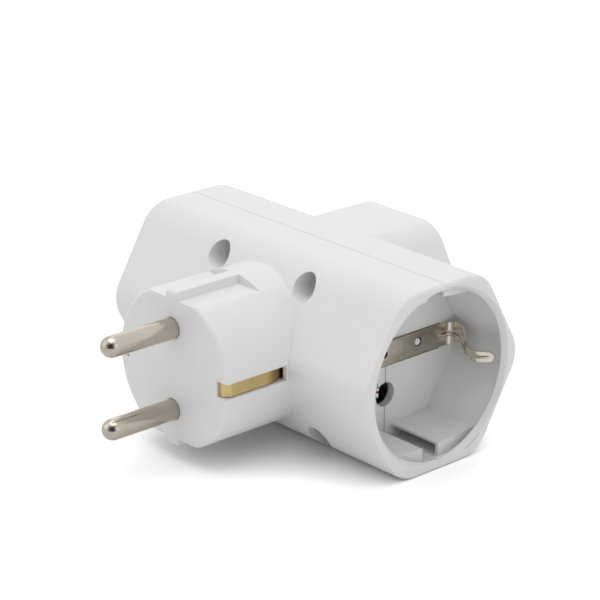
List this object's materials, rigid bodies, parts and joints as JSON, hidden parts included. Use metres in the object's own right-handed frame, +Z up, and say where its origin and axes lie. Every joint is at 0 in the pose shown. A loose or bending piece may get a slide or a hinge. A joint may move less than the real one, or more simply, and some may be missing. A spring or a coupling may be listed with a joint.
{
  "type": "multi socket adapter",
  "caption": "Mains adapter: a round earthed plug on a six-sided T-shaped housing, with a sunken earthed socket in each open end.",
  "frame": {"origin": "centre of the plug's front face, between its two pins", "axes": "-Y the way the plug's pins point, +Y towards the rear socket, X along the cross barrel, +Z up, from one pin to the other"},
  "size_m": [0.084, 0.0877, 0.043],
  "materials": {
    "housing": "satin moulded thermoplastic",
    "plug_pins": "nickel-plated brass, smooth",
    "bracket": "bare brass strip",
    "strips": "nickel-plated spring strip",
    "contacts": "bare brass strip",
    "rivets": "nickel-plated",
    "screws": "zinc-plated steel"
  },
  "bodies": {
    "root": {"front_shell": "housing", "rear_shell": "housing", "plug_earth_bracket": "bracket", "earth_link": "contacts", "upper_plug_pin": "plug_pins", "upper_busbar": "contacts", "upper_right_screw": "screws", "upper_left_screw": "screws", "lower_plug_pin": "plug_pins", "lower_busbar": "contacts", "lower_right_screw": "screws", "lower_left_screw": "screws", "right_upper_contact": "contacts", "right_upper_contact_rivet": "rivets", "right_lower_contact": "contacts", "right_lower_contact_rivet": "rivets", "right_earth_strip": "strips", "right_earth_rivet": "rivets", "rear_upper_contact": "contacts", "rear_upper_contact_rivet": "rivets", "rear_lower_contact": "contacts", "rear_lower_contact_rivet": "rivets", "rear_earth_strip": "strips", "rear_earth_rivet": "rivets", "left_upper_contact": "contacts", "left_upper_contact_rivet": "rivets", "left_lower_contact": "contacts", "left_lower_contact_rivet": "rivets", "left_earth_strip": "strips", "left_earth_rivet": "rivets"}
  },
  "joints": []
}
